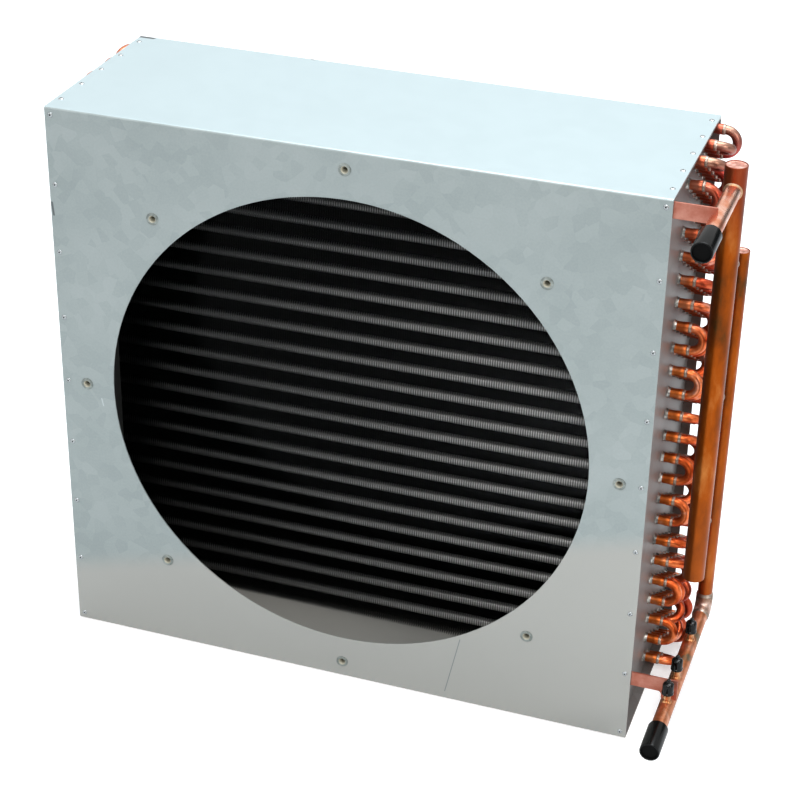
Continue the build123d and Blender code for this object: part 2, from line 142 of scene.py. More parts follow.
for name, place, turn, size, watts, tone in (
    ("overhead_lamp", (0.3, 0.5, 3.2), (-8, 6, 0), 2.6, 150.0, "#f4fbff"),
    ("front_lamp", (0.5, -2.5, 3.0), (42, 0, 10), 1.2, 42.0, "#ffffff"),
    ("left_lamp", (-2.6, -2.4, 1.9), (62, 0, -47), 1.4, 14.0, "#ffffff"),
    ("right_lamp", (2.7, -1.7, 1.6), (63, 0, 58), 1.1, 26.0, "#fff9f2"),
):
    lamp = bpy.data.lights.new(name, "AREA")
    lamp.size = size
    lamp.energy = watts
    lamp.color = colour(tone)[:3]
    lamp_object = bpy.data.objects.new(name, lamp)
    lamp_object.location = place
    lamp_object.rotation_euler = [radians(v) for v in turn]
    bpy.context.scene.collection.objects.link(lamp_object)

camera = bpy.data.cameras.new("camera")
camera.sensor_width = 36.0
camera.lens = 92.2605
camera.clip_end = 50.0
camera_object = bpy.data.objects.new("camera", camera)
camera_object.location = (0.6112204, -1.7772529, 1.3359293)
camera_object.rotation_euler = [radians(v) for v in (60.70534, -1.01676, 18.89095)]
bpy.context.scene.collection.objects.link(camera_object)
bpy.context.scene.camera = camera_object
bpy.context.scene.view_settings.view_transform = "Standard"

# Casing: the folded wrap and the two tube plates, cut from hot-dip galvanised sheet steel. The
# zinc froze in faint crystals, so the grey is broken up, dull rather than polished, and here
# and there scratched where the casing was handled.
SPANGLE = 13 * mm
CLOUD = 90 * mm
REFLECTED_BAND = (0.161, 0.272)


def shader_of(material):
    """The Principled shader of a material."""
    return material.node_tree.nodes["Principled BSDF"]


def scratch_mask(tree, point, start, end, width):
    """1 on the line from start to end, 0 beyond width: distance of point from start + t (end - start),
    with t = (point - start) . (end - start) / length squared, kept between 0 and 1."""
    start, end = np.array(start, float), np.array(end, float)
    along = end - start
    offset = add_node(
        tree, "ShaderNodeVectorMath", {0: point, 1: start.tolist()}, operation="SUBTRACT"
    ).outputs["Vector"]
    reach = add_node(
        tree,
        "ShaderNodeVectorMath",
        {0: offset, 1: (along / (along @ along)).tolist()},
        operation="DOT_PRODUCT",
    ).outputs["Value"]
    t = add_node(tree, "ShaderNodeClamp", {"Value": reach}).outputs[0]
    foot = add_node(
        tree, "ShaderNodeVectorMath", {0: along.tolist(), "Scale": t}, operation="SCALE"
    ).outputs["Vector"]
    gap = add_node(tree, "ShaderNodeVectorMath", {0: offset, 1: foot}, operation="SUBTRACT")
    distance = add_node(
        tree, "ShaderNodeVectorMath", {0: gap.outputs["Vector"]}, operation="LENGTH"
    ).outputs["Value"]
    return add_node(
        tree,
        "ShaderNodeMapRange",
        {"Value": distance, "From Min": width * 0.4, "From Max": width, "To Min": 1.0, "To Max": 0.0},
    ).outputs[0]


def galvanised(name, light_code, dark_code, roughness):
    """Hot-dip galvanised sheet: a random grey for each crystal, softened by larger clouds."""
    material = bpy.data.materials.new(name)
    material.use_nodes = True
    tree = material.node_tree
    place = add_node(tree, "ShaderNodeTexCoord").outputs["Object"]
    crystal = add_node(
        tree, "ShaderNodeTexVoronoi", {"Vector": place, "Scale": 1 / SPANGLE, "Randomness": 1.0}
    )
    grey = add_node(tree, "ShaderNodeSeparateColor", {0: crystal.outputs["Color"]}).outputs[0]
    cloud = add_node(
        tree, "ShaderNodeTexNoise", {"Vector": place, "Scale": 1 / CLOUD, "Detail": 4.0}
    ).outputs[0]
    speck = add_node(
        tree, "ShaderNodeTexNoise", {"Vector": place, "Scale": 1 / (2.2 * mm), "Detail": 2.0}
    ).outputs[0]
    mixed = add_node(
        tree, "ShaderNodeMix", {"Factor": 0.7, "A": grey, "B": cloud}, data_type="FLOAT"
    ).outputs[0]
    mixed = add_node(
        tree, "ShaderNodeMix", {"Factor": 0.3, "A": mixed, "B": speck}, data_type="FLOAT"
    ).outputs[0]
    ramp = add_node(tree, "ShaderNodeValToRGB", {"Fac": mixed})
    ramp.color_ramp.elements[0].position = 0.25
    ramp.color_ramp.elements[0].color = colour(dark_code)
    ramp.color_ramp.elements[1].position = 0.75
    ramp.color_ramp.elements[1].color = colour(light_code)
    rough = add_node(
        tree,
        "ShaderNodeMapRange",
        {"Value": mixed, "To Min": roughness - 0.05, "To Max": roughness + 0.06},
    ).outputs[0]
    shader = shader_of(material)
    shader.inputs["Metallic"].default_value = 0.4
    tree.links.new(rough, shader.inputs["Roughness"])
    tree.links.new(ramp.outputs["Color"], shader.inputs["Base Color"])
    return material, tree, place, ramp.outputs["Color"]


casing_sheet, tree, place, zinc = galvanised(
    "hot_dip_galvanised_sheet", "#a3abaa", "#8f9998", 0.38
)
# Painted reflection: below a slanting soft edge, the front face turns a lighter, warmer grey that stands in for the
# floor reflected in the sheet.
axes = add_node(tree, "ShaderNodeSeparateXYZ", {"Vector": place})
edge_height = add_node(
    tree,
    "ShaderNodeMath",
    {0: axes.outputs["X"], 1: REFLECTED_BAND[1], 2: REFLECTED_BAND[0]},
    operation="MULTIPLY_ADD",
).outputs[0]
below = add_node(
    tree, "ShaderNodeMath", {0: edge_height, 1: axes.outputs["Z"]}, operation="SUBTRACT"
).outputs[0]
painted_reflection_edge = add_node(
    tree,
    "ShaderNodeMapRange",
    {"Value": below, "From Min": -0.012, "From Max": 0.02},
    interpolation_type="SMOOTHSTEP",
).outputs[0]
on_front = add_node(
    tree, "ShaderNodeMath", {0: axes.outputs["Y"], 1: -0.1085}, operation="LESS_THAN"
).outputs[0]
painted_reflection_zone = add_node(
    tree, "ShaderNodeMath", {0: painted_reflection_edge, 1: on_front}, operation="MULTIPLY"
).outputs[0]
zinc = add_node(
    tree,
    "ShaderNodeMix",
    {"Factor": painted_reflection_zone, "A": zinc, "B": colour("#a9a9a4")},
    data_type="RGBA",
).outputs["Result"]
# Painted light: the top face takes a lighter, bluer grey than the front, standing in for the overhead light falling
# on it.
painted_top_light = add_node(
    tree, "ShaderNodeMapRange", {"Value": axes.outputs["Z"], "From Min": 0.6037, "From Max": 0.6042, "To Max": 0.82}
).outputs[0]
zinc = add_node(
    tree,
    "ShaderNodeMix",
    {"Factor": painted_top_light, "A": zinc, "B": colour("#aab8bb")},
    data_type="RGBA",
).outputs["Result"]
# Painted light: the bottom sheet takes a pale warm grey, standing in for light that falls on the inside floor
# through the opening.
painted_light_bottom = add_node(
    tree, "ShaderNodeMath", {0: axes.outputs["Z"], 1: 0.0015}, operation="LESS_THAN"
).outputs[0]
zinc = add_node(
    tree,
    "ShaderNodeMix",
    {"Factor": painted_light_bottom, "A": zinc, "B": colour("#c6c3bb")},
    data_type="RGBA",
).outputs["Result"]
for start, end, width, tone in (
    ((0.1299, -0.11, 0.0795), (0.1154, -0.11, 0.0097), 0.7 * mm, "#7c8483"),
    ((-0.2678, -0.11, 0.2875), (-0.2662, -0.11, 0.2795), 0.9 * mm, "#bcc4c4"),
    ((-0.3098, -0.11, 0.503), (-0.3086, -0.11, 0.490), 1.6 * mm, "#5a5f60"),
    ((-0.1165, 0.1095, 0.6044), (-0.1140, 0.1095, 0.6044), 1.8 * mm, "#4c4f4f"),
    ((-0.3100, 0.1080, 0.6044), (-0.2960, 0.1080, 0.6044), 3.5 * mm, "#3f4243"),
):
    mark = scratch_mask(tree, place, start, end, width)
    zinc = add_node(
        tree,
        "ShaderNodeMix",
        {"Factor": mark, "A": zinc, "B": colour(tone)},
        data_type="RGBA",
    ).outputs["Result"]
tree.links.new(zinc, shader_of(casing_sheet).inputs["Base Color"])
# Painted shade: the tube plates are the same sheet as the wrap but take a darker, browner grey.
plate_sheet, tree, place, zinc = galvanised("galvanised_tube_plate_with_painted_shade", "#848280", "#6e6b68", 0.42)
axes = add_node(tree, "ShaderNodeSeparateXYZ", {"Vector": place})
reach = add_node(tree, "ShaderNodeMath", {0: axes.outputs["X"]}, operation="ABSOLUTE").outputs[0]
# Painted shade: the faces of the plates on the fin side turn near black.
painted_shade_inner_face = add_node(
    tree, "ShaderNodeMath", {0: reach, 1: 0.3003}, operation="LESS_THAN"
).outputs[0]
zinc = add_node(
    tree,
    "ShaderNodeMix",
    {"Factor": painted_shade_inner_face, "A": zinc, "B": colour("#3a3b3a")},
    data_type="RGBA",
).outputs["Result"]
tree.links.new(zinc, shader_of(plate_sheet).inputs["Base Color"])


def dress(node, material):
    """Puts the material on every slot of a CAD node."""
    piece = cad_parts[node]
    if not piece.data.materials:
        piece.data.materials.append(material)
    for index in range(len(piece.data.materials)):
        piece.data.materials[index] = material


dress("casing_wrap", casing_sheet)
dress("tube_plate_right", plate_sheet)
dress("tube_plate_left", plate_sheet)

# Fins: thin aluminium plates, pressed on the tubes side by side. Light hardly gets in between them, so the pack
# looks black from the front, and the fins' near-black colour is painted shade.
FIN_PITCH = 2.54 * mm
FIN_GAUGE = 0.12 * mm
pack_low, pack_high = (np.array(corner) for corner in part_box("fin_pack"))


def merge_and_close(mesh):
    """Joins the points that meet at seams and poles, then turns every face outwards."""
    work = bmesh.new()
    work.from_mesh(mesh)
    bmesh.ops.remove_doubles(work, verts=work.verts, dist=1e-6)
    bmesh.ops.recalc_face_normals(work, faces=work.faces)
    work.to_mesh(mesh)
    work.free()


def new_piece(name, shells, materials, stands_for=(), crease=40):
    """One mesh from shells of (grids, material index). A grid is points[..., row, column, 3], and
    neighbouring points of it are joined by four-sided faces."""
    points, faces, kinds, count = [], [], [], 0
    for grids, kind in shells:
        grids = np.asarray(grids, float)
        rows, columns = grids.shape[-3], grids.shape[-2]
        grids = grids.reshape(-1, rows * columns, 3)
        corner = (np.arange(rows - 1)[:, None] * columns + np.arange(columns - 1)).ravel()
        quad = corner[:, None] + np.array([0, 1, columns + 1, columns])
        starts = count + np.arange(len(grids)) * rows * columns
        quads = (starts[:, None, None] + quad[None]).reshape(-1, 4)
        points.append(grids.reshape(-1, 3))
        faces.append(quads)
        kinds.append(np.full(len(quads), kind))
        count += grids.shape[0] * rows * columns
    points, faces, kinds = (np.concatenate(part) for part in (points, faces, kinds))
    mesh = bpy.data.meshes.new(name)
    mesh.vertices.add(len(points))
    mesh.vertices.foreach_set("co", points.ravel())
    mesh.loops.add(faces.size)
    mesh.loops.foreach_set("vertex_index", faces.ravel().astype(np.int32))
    mesh.polygons.add(len(faces))
    mesh.polygons.foreach_set("loop_start", np.arange(0, faces.size, 4, dtype=np.int32))
    for material in materials:
        mesh.materials.append(material)
    mesh.polygons.foreach_set("material_index", kinds.astype(np.int32))
    mesh.update(calc_edges=True)
    merge_and_close(mesh)
    mesh.shade_smooth()
    mesh.set_sharp_from_angle(angle=radians(crease))
    piece = bpy.data.objects.new(name, mesh)
    bpy.context.scene.collection.objects.link(piece)
    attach(piece, "root")
    if stands_for:
        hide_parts(*stands_for)
    return piece


def boxes(low, high):
    """Closed boxes as grids: a square section at low and high X, with the end faces drawn in to a point."""
    low, high = np.atleast_2d(low), np.atleast_2d(high)
    y = np.stack([low[:, 1], high[:, 1], high[:, 1], low[:, 1], low[:, 1]], 1)
    z = np.stack([low[:, 2], low[:, 2], high[:, 2], high[:, 2], low[:, 2]], 1)
    middle_y = np.repeat((low[:, 1:2] + high[:, 1:2]) / 2, 5, 1)
    middle_z = np.repeat((low[:, 2:3] + high[:, 2:3]) / 2, 5, 1)
    rows = []
    for x, yy, zz in (
        (low[:, 0], middle_y, middle_z),
        (low[:, 0], y, z),
        (high[:, 0], y, z),
        (high[:, 0], middle_y, middle_z),
    ):
        rows.append(np.stack([np.repeat(x[:, None], 5, 1), yy, zz], -1))
    return np.stack(rows, 1)


fin_painted_shade = bpy.data.materials.new("aluminium_fin_painted_black_shade")
fin_painted_shade.use_nodes = True
tree = fin_painted_shade.node_tree
place = add_node(tree, "ShaderNodeTexCoord").outputs["Object"]
# Painted shade: the fins' colour drifts between two near-blacks in soft clouds.
shade_mottle = add_node(
    tree, "ShaderNodeTexNoise", {"Vector": place, "Scale": 1 / (30 * mm), "Detail": 5.0}
).outputs[0]
ramp = add_node(tree, "ShaderNodeValToRGB", {"Fac": shade_mottle})
ramp.color_ramp.elements[0].position = 0.35
ramp.color_ramp.elements[0].color = colour("#030404")
ramp.color_ramp.elements[1].position = 0.75
ramp.color_ramp.elements[1].color = colour("#080a0a")
tree.links.new(ramp.outputs["Color"], shader_of(fin_painted_shade).inputs["Base Color"])
shader_of(fin_painted_shade).inputs["Roughness"].default_value = 0.17

fin_count = round((pack_high[0] - pack_low[0]) / FIN_PITCH)
fin_x = np.linspace(pack_low[0] + FIN_GAUGE / 2, pack_high[0] - FIN_GAUGE / 2, fin_count)
fin_low = np.stack([fin_x - FIN_GAUGE / 2, fin_x * 0 + pack_low[1], fin_x * 0 + pack_low[2]], 1)
fin_high = np.stack([fin_x + FIN_GAUGE / 2, fin_x * 0 + pack_high[1], fin_x * 0 + pack_high[2]], 1)
new_piece("fins", [(boxes(fin_low, fin_high), 0)], [fin_painted_shade], ["fin_pack"])

# Coil tubes: five rows of 24 level tubes through the fins. Each fin's collar wraps them in bare
# aluminium, which catches the light between the fins and draws the bright ribbed stripes.
ROWS, LEVELS = 5, 24
COLLAR_DIAMETER = 10.7 * mm
pitch = (pack_high[2] - pack_low[2]) / LEVELS
row_pitch = (pack_high[1] - pack_low[1]) / ROWS


def tube_centre(row, level):
    """Y and Z of a tube: row counts from the fan side, and odd rows sit half a pitch higher."""
    row, level = np.asarray(row), np.asarray(level)
    y = pack_low[1] + (row - 0.5) * row_pitch + 0 * level
    z = pack_low[2] + (level + np.where(row % 2 == 1, 0.75, 0.25)) * pitch
    return y, z


def turned(profile, origin, axis, sides):
    """A profile of (distance along axis, radius) turned about axis: origin + s axis + r (a cos v + b sin v)."""
    profile, axis = np.asarray(profile, float), np.asarray(axis, float)
    a = np.roll(axis, 1)
    b = np.cross(axis, a)
    v = np.linspace(0, 2 * np.pi, sides + 1)
    ring = np.cos(v)[:, None] * a + np.sin(v)[:, None] * b
    line = profile[:, 0, None] * axis
    grid = line[:, None] + profile[:, 1, None, None] * ring[None]
    origin = np.atleast_2d(origin)
    return origin[:, None, None] + grid[None]


def rod_profile(length, radius):
    """A plain round bar with closed ends."""
    return [(0, 0), (0, radius), (length, radius), (length, 0)]


collar_metal = bpy.data.materials.new("bright_aluminium_fin_collar")
collar_metal.use_nodes = True
shader = shader_of(collar_metal)
shader.inputs["Base Color"].default_value = colour("#efeeea")
shader.inputs["Metallic"].default_value = 0.2
shader.inputs["Roughness"].default_value = 0.45

all_rows, all_levels = np.meshgrid(np.arange(1, ROWS + 1), np.arange(LEVELS), indexing="ij")
tube_y, tube_z = tube_centre(all_rows.ravel(), all_levels.ravel())
tube_starts = np.stack([tube_y * 0 + pack_low[0], tube_y, tube_z], 1)
tube_bars = turned(
    rod_profile(pack_high[0] - pack_low[0], COLLAR_DIAMETER / 2), tube_starts, (1, 0, 0), 16
)
new_piece("coil_tubes", [(tube_bars, 0)], [collar_metal])

# Tube ends: each copper tube comes through a flanged hole in the tube plate and is belled out
# to take a return bend, which is brazed in with a silver fillet.
STUB_DIAMETER = 10.0 * mm
BELL_DIAMETER = 10.8 * mm
LIP_DIAMETER = 12.8 * mm
plate_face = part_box("tube_ends_row_1")[0][0]
end_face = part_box("tube_ends_row_1")[1][0]


def copper_finish(name, codes, spots, grain, roughness, stretch=(1, 1, 1), stains=()):
    """Copper whose colour drifts through the given colours in clouds of the given size. A stain is
    (axis, from, to, colour, share): it mixes in along an axis of the part, in metres."""
    material = bpy.data.materials.new(name)
    material.use_nodes = True
    tree = material.node_tree
    place = add_node(tree, "ShaderNodeTexCoord").outputs["Object"]
    scaled = add_node(tree, "ShaderNodeMapping", {"Vector": place, "Scale": stretch}).outputs[0]
    cloud = add_node(
        tree,
        "ShaderNodeTexNoise",
        {"Vector": scaled, "Scale": 1 / grain, "Detail": 5.0, "Roughness": 0.62},
    ).outputs[0]
    ramp = add_node(tree, "ShaderNodeValToRGB", {"Fac": cloud})
    stops = ramp.color_ramp.elements
    while len(stops) < len(codes):
        stops.new(0.5)
    for stop, spot, code in zip(stops, spots, codes):
        stop.position = spot
        stop.color = colour(code)
    rough = add_node(
        tree,
        "ShaderNodeMapRange",
        {"Value": cloud, "To Min": roughness + 0.12, "To Max": roughness - 0.1},
    ).outputs[0]
    tone = ramp.outputs["Color"]
    axes = add_node(tree, "ShaderNodeSeparateXYZ", {"Vector": place})
    for axis, start, end, code, share in stains:
        amount = add_node(
            tree,
            "ShaderNodeMapRange",
            {"Value": axes.outputs[axis], "From Min": start, "From Max": end, "To Max": share},
        ).outputs[0]
        tone = add_node(
            tree,
            "ShaderNodeMix",
            {"Factor": amount, "A": tone, "B": colour(code)},
            data_type="RGBA",
        ).outputs["Result"]
    shader = shader_of(material)
    shader.inputs["Metallic"].default_value = 1.0
    tree.links.new(tone, shader.inputs["Base Color"])
    tree.links.new(rough, shader.inputs["Roughness"])
    return material


stub_copper = copper_finish(
    "expanded_copper_tube_end",
    ["#9e4619", "#cf6e33", "#e4a27c"],
    [0.3, 0.5, 0.72],
    20 * mm,
    0.4,
    stains=(("Y", 0.01, 0.09, "#8c3a2c", 0.5), ("Z", 0.38, 0.58, "#9a4a46", 0.6)),
)
lip_zinc = copper_finish(
    "drawn_galvanised_hole_flange", ["#5c5a56", "#8f8d88", "#d2d1cb"], [0.35, 0.5, 0.66], 9 * mm, 0.4
)
braze = copper_finish(
    "silver_braze_alloy", ["#75655a", "#a08f82", "#c8bbb0"], [0.3, 0.5, 0.7], 9 * mm, 0.38
)
lip_profile = [
    (0, STUB_DIAMETER / 2),
    (0, LIP_DIAMETER / 2),
    (0.5 * mm, LIP_DIAMETER / 2 - 0.5 * mm),
    (1.5 * mm, STUB_DIAMETER / 2 + 0.55 * mm),
    (3.0 * mm, STUB_DIAMETER / 2 + 0.45 * mm),
    (3.0 * mm, STUB_DIAMETER / 2),
    (0, STUB_DIAMETER / 2),
]
bell_length = end_face - plate_face
stub_profile = [
    (0, 0),
    (0, STUB_DIAMETER / 2),
    (bell_length - 8.0 * mm, STUB_DIAMETER / 2),
    (bell_length - 6.0 * mm, BELL_DIAMETER / 2),
    (bell_length - 0.3 * mm, BELL_DIAMETER / 2),
    (bell_length, BELL_DIAMETER / 2 - 0.25 * mm),
    (bell_length, 0),
]
fillet_profile = [
    (bell_length - 1.6 * mm, BELL_DIAMETER / 2 - 0.1 * mm),
    (bell_length - 1.2 * mm, BELL_DIAMETER / 2 + 0.12 * mm),
    (bell_length + 0.1 * mm, BELL_DIAMETER / 2 + 0.05 * mm),
    (bell_length + 1.3 * mm, BELL_DIAMETER / 2 - 0.42 * mm),
    (bell_length + 1.9 * mm, BELL_DIAMETER / 2 - 0.85 * mm),
    (bell_length - 1.6 * mm, BELL_DIAMETER / 2 - 0.1 * mm),
]
for row in range(1, ROWS + 1):
    y, z = tube_centre(row, np.arange(LEVELS))
    roots = np.stack([y * 0 + plate_face, y, z], 1)
    shells = [
        (turned(lip_profile, roots, (1, 0, 0), 14), 0),
        (turned(stub_profile, roots, (1, 0, 0), 14), 1),
        (turned(fillet_profile, roots, (1, 0, 0), 14), 2),
    ]
    new_piece(
        f"belled_tube_ends_{row}",
        shells,
        [lip_zinc, stub_copper, braze],
        [f"tube_ends_row_{row}"],
    )

# Return bends: U bends of the same copper tube, bent cold and brazed into the belled ends. The
# torch left them red and brown, with a pink bloom on the outside of the turn.
TUBE_DIAMETER = 9.52 * mm
BEND_SEAT = 1.2 * mm
bend_radius = pitch / 2
bend_copper = copper_finish(
    "torch_reddened_copper_bend",
    ["#8f3619", "#cb5828", "#e47c48", "#f0b7a2"],
    [0.28, 0.44, 0.58, 0.74],
    24 * mm,
    0.36,
    stains=(
        ("Y", 0.005, 0.075, "#94282a", 0.65),
        ("Z", 0.38, 0.58, "#a4464a", 0.55),
        ("Z", 0.574, 0.6, "#8c8270", 0.7),
    ),
)


def swept(route, normal, radii, sides):
    """A round tube along a flat route: p + r (n cos v + (t x n) sin v), with n square to the route's plane."""
    route, normal = np.asarray(route, float), np.asarray(normal, float)
    ahead = np.gradient(route, axis=0)
    ahead /= np.linalg.norm(ahead, axis=1, keepdims=True)
    side = np.cross(ahead, normal)
    v = np.linspace(0, 2 * np.pi, sides + 1)
    around = np.cos(v)[None, :, None] * normal + np.sin(v)[None, :, None] * side[:, None]
    radii = np.broadcast_to(radii, len(route))[:, None, None]
    return route[:, None] + radii * around


def bend_grid(leg, steps, sides):
    """A U in the XZ plane that opens towards -X: two legs, and half a circle in between."""
    turn = np.linspace(-np.pi / 2, np.pi / 2, steps)
    arc = np.stack([leg + bend_radius * np.cos(turn), 0 * turn, bend_radius * np.sin(turn)], 1)
    ends = np.array([[0, 0, -bend_radius], [0, 0, bend_radius]])
    route = np.concatenate([ends[:1], ends[:1], arc, ends[1:], ends[1:]])
    tube = swept(np.concatenate([ends[:1], arc, ends[1:]]), (0, 1, 0), TUBE_DIAMETER / 2, sides)
    start = np.broadcast_to(route[0], tube[:1].shape)
    end = np.broadcast_to(route[-1], tube[:1].shape)
    return np.concatenate([start, tube, end])


def at_places(grid, row_a, level_a, row_b, level_b, x, flip=1):
    """Copies of a bend, one in each circuit: turned about X to lie from tube a to tube b, then moved."""
    base = np.arange(0, LEVELS, CIRCUIT_LEVELS)
    y_a, z_a = tube_centre(row_a, base + level_a)
    y_b, z_b = tube_centre(row_b, base + level_b)
    lean = np.arctan2(y_a - y_b, z_b - z_a)[:, None, None]
    px, py, pz = grid[..., 0] * flip, grid[..., 1], grid[..., 2]
    y = py * np.cos(lean) - pz * np.sin(lean) + ((y_a + y_b) / 2)[:, None, None]
    z = py * np.sin(lean) + pz * np.cos(lean) + ((z_a + z_b) / 2)[:, None, None]
    return np.stack([np.broadcast_to(px + x, y.shape), y, z], -1)


CIRCUIT_LEVELS = 6
bend = bend_grid(BEND_SEAT, 17, 14)
upright_bends = {1: (1, 3), 2: (3,), 3: (3,), 4: (0, 2), 5: (0, 2, 4)}
for row, levels in upright_bends.items():
    shells = [(at_places(bend, row, k, row, k + 1, end_face), 0) for k in levels]
    node = f"return_bends_row_{row}"
    new_piece(f"u_bends_{row}", shells, [bend_copper], [node])
crossing_bends = {1: (0, 5), 2: (1, 2), 3: (5,)}
for row, levels in crossing_bends.items():
    shells = [(at_places(bend, row, k, row + 1, k, end_face), 0) for k in levels]
    node = f"crossover_bends_{row}_to_{row + 1}"
    new_piece(f"slanting_bends_{row}", shells, [bend_copper], [node])

# Hairpin bends: the closed ends of the coil tubes on the left, never heated, so they keep the
# pink of new copper. Each leg comes out of the plate through a flanged hole.
hairpin_copper = copper_finish(
    "bright_drawn_copper_hairpin", ["#b4593a", "#d98a68", "#edb59b"], [0.3, 0.5, 0.7], 30 * mm, 0.3
)
HAIRPIN_LEG = 10 * mm
hairpin = bend_grid(HAIRPIN_LEG, 17, 14)
hairpin_levels = {1: (0, 2, 4), 2: (0, 2, 4), 3: (0, 2, 4), 4: (1, 3), 5: (1, 3)}
for row, levels in hairpin_levels.items():
    shells = [(at_places(hairpin, row, k, row, k + 1, -plate_face, -1), 0) for k in levels]
    new_piece(f"hairpins_{row}", shells, [hairpin_copper], [f"hairpin_bends_row_{row}"])
shells = [(at_places(hairpin, 4, k, 5, k, -plate_face, -1), 0) for k in (0, 5)]
new_piece("rear_hairpins", shells, [hairpin_copper], ["hairpin_crossovers_4_to_5"])
left_roots = np.stack([tube_y * 0 - plate_face, tube_y, tube_z], 1)
left_lips = turned(lip_profile, left_roots, (-1, 0, 0), 14)
new_piece("left_plate_lips", [(left_lips, 0)], [lip_zinc])

# Headers: straight copper tubes that gather the four circuits, the wide one for gas in front and
# the narrow one for liquid behind. Brazing oxidised them, so they are brown and orange with
# smoky stains, and each is closed with a disc set just below the rim.
GAS_WALL = 1.2 * mm
PIPE_WALL = 1.0 * mm
header_copper = copper_finish(
    "oxidised_copper_header",
    ["#55361a", "#7d3c14", "#9c4a12", "#b87238"],
    [0.32, 0.42, 0.56, 0.74],
    48 * mm,
    0.36,
    (1.6, 1.6, 0.6),
    stains=(("Z", 0.53, 0.6, "#7c302a", 0.6), ("Z", 0.3, 0.12, "#a8592c", 0.45)),
)
rim_copper = copper_finish(
    "scorched_copper_cap", ["#8a6256", "#c08a7c", "#e6c3b6"], [0.32, 0.5, 0.7], 6 * mm, 0.45
)


def pipe_profile(length, radius, wall):
    """A hollow pipe with slightly rounded rims: out along the outside and back along the bore."""
    soft = 0.25 * mm
    return [
        (soft, radius),
        (length - soft, radius),
        (length, radius - soft),
        (length, radius - wall + soft),
        (length - soft, radius - wall),
        (soft, radius - wall),
        (0, radius - wall + soft),
        (0, radius - soft),
        (soft, radius),
    ]


def node_axis(node):
    """Middle of a node's box, its lowest corner and its size."""
    low, high = (np.array(corner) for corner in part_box(node))
    return (low + high) / 2, low, high - low


gas_middle, gas_low, gas_size = node_axis("gas_header")
gas_radius = gas_size[0] / 2
liquid_middle, liquid_low, liquid_size = node_axis("liquid_header")
pipe_radius = liquid_size[0] / 2
for name, middle, low, size, radius, wall, node in (
    ("gas_header_tube", gas_middle, gas_low, gas_size, gas_radius, GAS_WALL, "gas_header"),
    (
        "liquid_header_tube",
        liquid_middle,
        liquid_low,
        liquid_size,
        pipe_radius,
        PIPE_WALL,
        "liquid_header",
    ),
):
    foot = (middle[0], middle[1], low[2])
    tube = turned(pipe_profile(size[2], radius, wall), foot, (0, 0, 1), 48)
    new_piece(name, [(tube, 0)], [header_copper], [node])
for node in ("gas_header_top_cap", "gas_header_bottom_cap", "liquid_header_top_cap"):
    middle, low, size = node_axis(node)
    radius = size[0] / 2
    outward = -1 if node == "gas_header_bottom_cap" else 1
    thick = size[2]
    face = middle[2] + outward * thick / 2
    disc = [
        (-thick, 0),
        (-thick, radius),
        (0, radius),
        (0.6 * mm, radius - 0.1 * mm),
        (0.1 * mm, radius - 1.6 * mm),
        (0, radius * 0.5),
        (0.15 * mm, 0),
    ]
    plate = turned(disc, (middle[0], middle[1], face), (0, 0, outward), 40)
    new_piece(node.replace("_cap", "_disc"), [(plate, 0)], [rim_copper], [node])

# Feeders: eight short copper tubes that carry each circuit to its header. They leave the coil
# level, turn once and end in the header's wall, in a ring of braze.
FEEDER_CORNER = 12 * mm
gas_feeder_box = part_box("gas_feeders")
liquid_feeder_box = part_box("liquid_feeders")
outlet_middle, outlet_low, outlet_size = node_axis("outlet_pipe")
casing_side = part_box("casing_wrap")[1][0]
GAS_REACH = 28 * mm
LIQUID_REACH = 21.7 * mm
HEADER_END_MARGIN = 11.5 * mm


def feeder_grid(start, corner, end, sides=14):
    """A tube along two straight lines joined by a smooth corner, drawn as a quadratic curve."""
    start, corner, end = (np.array(p, float) for p in (start, corner, end))
    into = corner + (start - corner) / np.linalg.norm(start - corner) * FEEDER_CORNER
    out = corner + (end - corner) / np.linalg.norm(end - corner) * FEEDER_CORNER
    t = np.linspace(0, 1, 11)[:, None]
    curve = (1 - t) ** 2 * into + 2 * t * (1 - t) * corner + t**2 * out
    route = np.concatenate([start[None], curve, end[None]])
    normal = np.cross(corner - start, end - corner)
    normal /= np.linalg.norm(normal)
    tube = swept(route, normal, TUBE_DIAMETER / 2, sides)
    first = np.broadcast_to(start, tube[:1].shape)
    last = np.broadcast_to(end, tube[:1].shape)
    return np.concatenate([first, tube, last])


def bead(centre, axis, radius, header_radius, thickness, sides=28):
    """A ring of braze where a small tube, along axis, enters an upright pipe: the points of the
    small tube's circle are pushed out to the pipe's round wall, and a thin cord follows them."""
    centre, axis = np.array(centre, float), np.array(axis, float)
    axis /= np.linalg.norm(axis)
    pipe_axis = np.array(pipe_direction, float)
    a = np.cross(pipe_axis, axis)
    a /= np.linalg.norm(a)
    b = np.cross(axis, a)
    v = np.linspace(0, 2 * np.pi, sides + 1)
    out = np.cos(v)[:, None] * a + np.sin(v)[:, None] * b
    depth = np.sqrt(np.maximum(header_radius**2 - (radius * np.cos(v)) ** 2, 0))
    line = centre + out * radius + depth[:, None] * axis
    w = np.linspace(0, 2 * np.pi, 9)
    return (
        line[:, None]
        + thickness * np.cos(w)[None, :, None] * out[:, None]
        + thickness * np.sin(w)[None, :, None] * axis
    )


pipe_direction = (0, 0, 1)
shells, rings = [], []
for circuit, level in enumerate(range(4, LEVELS, CIRCUIT_LEVELS)):
    y, z = (float(value) for value in tube_centre(4, level))
    top = max(z, gas_low[2] + HEADER_END_MARGIN)
    start, corner = (end_face, y, z), (casing_side + GAS_REACH, y, z)
    end = np.array((gas_middle[0], gas_middle[1], top))
    toward = np.array(corner) - end
    shells.append((feeder_grid(start, corner, end + toward / np.linalg.norm(toward) * 9 * mm), 0))
    rings.append(bead(end, toward, TUBE_DIAMETER / 2, gas_radius, 0.9 * mm))
shells += [(ring, 1) for ring in rings]
new_piece("gas_feeder_tubes", shells, [bend_copper, braze], ["gas_feeders"])

